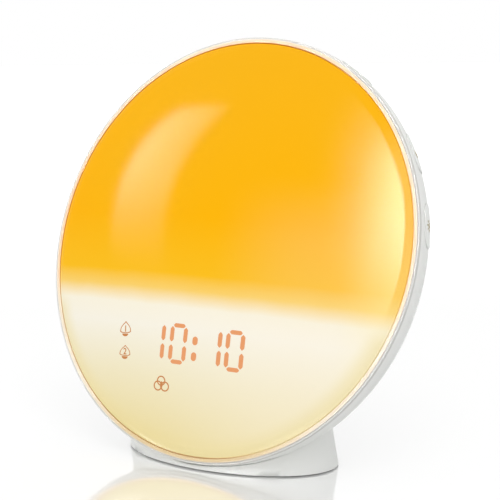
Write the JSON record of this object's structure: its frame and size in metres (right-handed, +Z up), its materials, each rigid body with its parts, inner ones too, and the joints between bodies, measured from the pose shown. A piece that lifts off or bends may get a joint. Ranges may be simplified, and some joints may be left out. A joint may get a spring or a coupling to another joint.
{
  "type": "sunrise alarm clock",
  "caption": "Free-standing wake-up light clock: a domed glowing disc with digits shining through, push keys in the rim wall, leaning back on a low oval foot",
  "frame": {"origin": "centre of the foot's underside on the table plane", "axes": "+Z up, the lens faces -Y, +X is the right-hand side as the user sees it; the disc leans back by 17 degrees"},
  "size_m": [0.1774, 0.0726, 0.1724],
  "materials": {
    "lens": "smooth opal diffuser, satin gloss",
    "trim": "cream, satin",
    "housing": "white, fine satin moulding",
    "key": "white, satin",
    "mat": "dull, fine grain",
    "chassis": "white, plain moulding",
    "board": "green solder mask",
    "amber_led": "clear epoxy over phosphor",
    "white_led": "clear epoxy over phosphor",
    "display_block": "pale grey, plain",
    "digits": "tinted light windows",
    "icons": "frosted light guides",
    "chip": "black epoxy",
    "capacitor": "plain can",
    "connector": "natural nylon",
    "switch": "black, plain",
    "jack": "black, plain",
    "basket": "dark pressed steel",
    "magnet": "plain",
    "cone": "black paper",
    "coil": "lacquered copper wire",
    "gasket": "foam",
    "holder": "black, plain",
    "contact": "plated",
    "cell": "bright",
    "screw": "zinc plated",
    "plunger": "plain nylon",
    "lead_red": "wire sleeve",
    "lead_black": "wire sleeve",
    "lead_blue": "wire sleeve"
  },
  "bodies": {
    "clock": {"lens_dome": "lens", "trim_ring": "trim", "rear_housing": "housing", "foot": "housing", "foot_mat": "mat", "foot_screws": "screw", "front_frame": "chassis", "light_baffle": "chassis", "led_board": "board", "amber_leds": "amber_led", "display_board": "board", "white_leds": "white_led", "display_module": "display_block", "digit_segments": "digits", "icon_guides": "icons", "key_board_right": "board", "key_board_left": "board", "tact_switches_right": "switch", "tact_switches_left": "switch", "key_board_screws": "screw", "main_board": "board", "board_chips": "chip", "board_capacitors": "capacitor", "board_connectors": "connector", "board_screws": "screw", "dc_jack": "jack", "speaker_frame": "basket", "speaker_magnet": "magnet", "speaker_gasket": "gasket", "speaker_screws": "screw", "battery_holder": "holder", "battery_contacts": "contact", "coin_cell": "cell", "housing_screws": "screw", "led_leads": "lead_red", "speaker_leads": "lead_black", "key_leads": "lead_blue"},
    "key_right_low_unit": {"key_right_low": "key", "plunger_right_low": "plunger"},
    "key_right_mid_unit": {"key_right_mid": "key", "plunger_right_mid": "plunger"},
    "key_right_high_unit": {"key_right_high": "key", "plunger_right_high": "plunger"},
    "key_left_low_unit": {"key_left_low": "key", "plunger_left_low": "plunger"},
    "key_left_mid_unit": {"key_left_mid": "key", "plunger_left_mid": "plunger"},
    "key_left_high_unit": {"key_left_high": "key", "plunger_left_high": "plunger"},
    "speaker_cone_unit": {"speaker_cone": "cone", "voice_coil": "coil"},
    "battery_door_unit": {"battery_door": "housing", "battery_door_screw": "screw"}
  },
  "joints": [
    {"name": "key_right_low_press", "type": "slide", "parent": "clock", "child": "key_right_low_unit", "axis": [-0.9848, -0.0508, -0.1661], "range_m": [0, 0.0005], "stiffness_N_per_m": 800},
    {"name": "key_right_mid_press", "type": "slide", "parent": "clock", "child": "key_right_mid_unit", "axis": [-0.8704, -0.144, -0.4709], "range_m": [0, 0.0005], "stiffness_N_per_m": 800},
    {"name": "key_right_high_press", "type": "slide", "parent": "clock", "child": "key_right_high_unit", "axis": [-0.515, -0.2506, -0.8197], "range_m": [0, 0.0005], "stiffness_N_per_m": 800},
    {"name": "key_left_low_press", "type": "slide", "parent": "clock", "child": "key_left_low_unit", "axis": [0.9848, -0.0508, -0.1661], "range_m": [0, 0.0005], "stiffness_N_per_m": 800},
    {"name": "key_left_mid_press", "type": "slide", "parent": "clock", "child": "key_left_mid_unit", "axis": [0.8704, -0.144, -0.4709], "range_m": [0, 0.0005], "stiffness_N_per_m": 800},
    {"name": "key_left_high_press", "type": "slide", "parent": "clock", "child": "key_left_high_unit", "axis": [0.515, -0.2506, -0.8197], "range_m": [0, 0.0005], "stiffness_N_per_m": 800},
    {"name": "speaker_cone_travel", "type": "slide", "parent": "clock", "child": "speaker_cone_unit", "axis": [0, 0.9563, -0.2924], "range_m": [-0.0006, 0.0006], "stiffness_N_per_m": 1200},
    {"name": "battery_door_removal", "type": "slide", "parent": "clock", "child": "battery_door_unit", "axis": [0, 0.9563, -0.2924], "range_m": [0, 0.014]}
  ]
}
